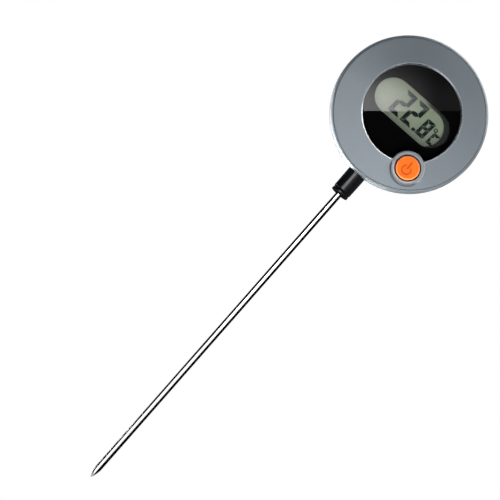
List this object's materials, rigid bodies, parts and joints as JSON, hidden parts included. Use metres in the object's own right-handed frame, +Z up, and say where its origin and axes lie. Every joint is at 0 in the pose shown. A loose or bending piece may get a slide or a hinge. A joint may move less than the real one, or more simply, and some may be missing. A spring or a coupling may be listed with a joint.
{
  "type": "soil thermometer probe",
  "caption": "Digital soil thermometer: round display head with a power button on a black collar, above a thin pointed steel probe; coin-slot battery cover at the back.",
  "frame": {"origin": "on the probe's axis where the probe leaves the collar", "axes": "+Z up along the probe towards the head, the probe points to -Z, the display faces -Y and +X is to the reader's right"},
  "size_m": [0.07, 0.0178, 0.2472],
  "materials": {
    "housing_grey": "satin metallic grey, very fine grain",
    "shell_black": "fine matt texture",
    "collar_black": "glossy moulded black",
    "seal_rubber": "matt",
    "window_clear": "clear polished acrylic",
    "mask_black": "black print behind the window",
    "adhesive": "foam tape",
    "button_orange": "satin",
    "polariser": "matt film",
    "display_glass": "thin display glass",
    "display_ink": "dark bars",
    "reflector": "grey-green reflective film",
    "frame_plastic": "matt",
    "zebra_rubber": "layered elastomer",
    "board_laminate": "green solder mask",
    "component_black": "moulded resin",
    "component_body": "ceramic chip parts",
    "switch_plastic": "moulded",
    "spring_steel": "plated strip",
    "cell_steel": "polished can",
    "holder_plastic": "moulded",
    "screw_steel": "plated",
    "probe_steel": "polished stainless steel",
    "ferrule_brass": "turned",
    "bead_epoxy": "epoxy bead",
    "wire_sleeve": "thin insulation",
    "filler": "heat-conducting compound"
  },
  "bodies": {
    "head": {"front_housing": "housing_grey", "rear_shell": "shell_black", "housing_seal": "seal_rubber", "window_lens": "window_clear", "window_mask": "mask_black", "lens_adhesive": "adhesive", "lcd_polariser": "polariser", "lcd_front_glass": "display_glass", "lcd_rear_glass": "display_glass", "lcd_reflector": "reflector", "lcd_segments": "display_ink", "lcd_frame": "frame_plastic", "zebra_strips": "zebra_rubber", "circuit_board": "board_laminate", "controller_chip": "component_black", "chip_components": "component_body", "switch_body": "switch_plastic", "switch_dome": "spring_steel", "switch_terminals": "spring_steel", "battery_holder": "holder_plastic", "positive_contact": "spring_steel", "negative_contact": "spring_steel", "coin_cell": "cell_steel", "case_screws": "screw_steel", "board_screws": "screw_steel", "collar": "collar_black", "probe_seal": "seal_rubber", "stem_ferrule": "ferrule_brass", "probe_stem": "probe_steel", "thermistor": "bead_epoxy", "lead_wires": "wire_sleeve", "tip_filler": "filler"},
    "power_button": {"power_button": "button_orange"},
    "switch_plunger": {"switch_plunger": "switch_plastic"},
    "battery_cover": {"battery_cover": "shell_black", "cover_ring": "seal_rubber"}
  },
  "joints": [
    {"name": "button_press", "type": "slide", "parent": "head", "child": "power_button", "axis": [0, 1, 0], "range_m": [0, 0.0005], "stiffness_N_per_m": 2000},
    {"name": "plunger_press", "type": "slide", "parent": "head", "child": "switch_plunger", "axis": [0, 1, 0], "range_m": [0, 0.0005], "deforming": ["switch_dome"]},
    {"name": "cover_turn", "type": "hinge", "parent": "head", "child": "battery_cover", "pos_m": [0, 0.005, 0.0497], "axis": [0, 1, 0], "range_deg": [0, 60]}
  ],
  "couplings": [
    {"joint": "plunger_press", "follows": "button_press", "ratio": 1}
  ]
}
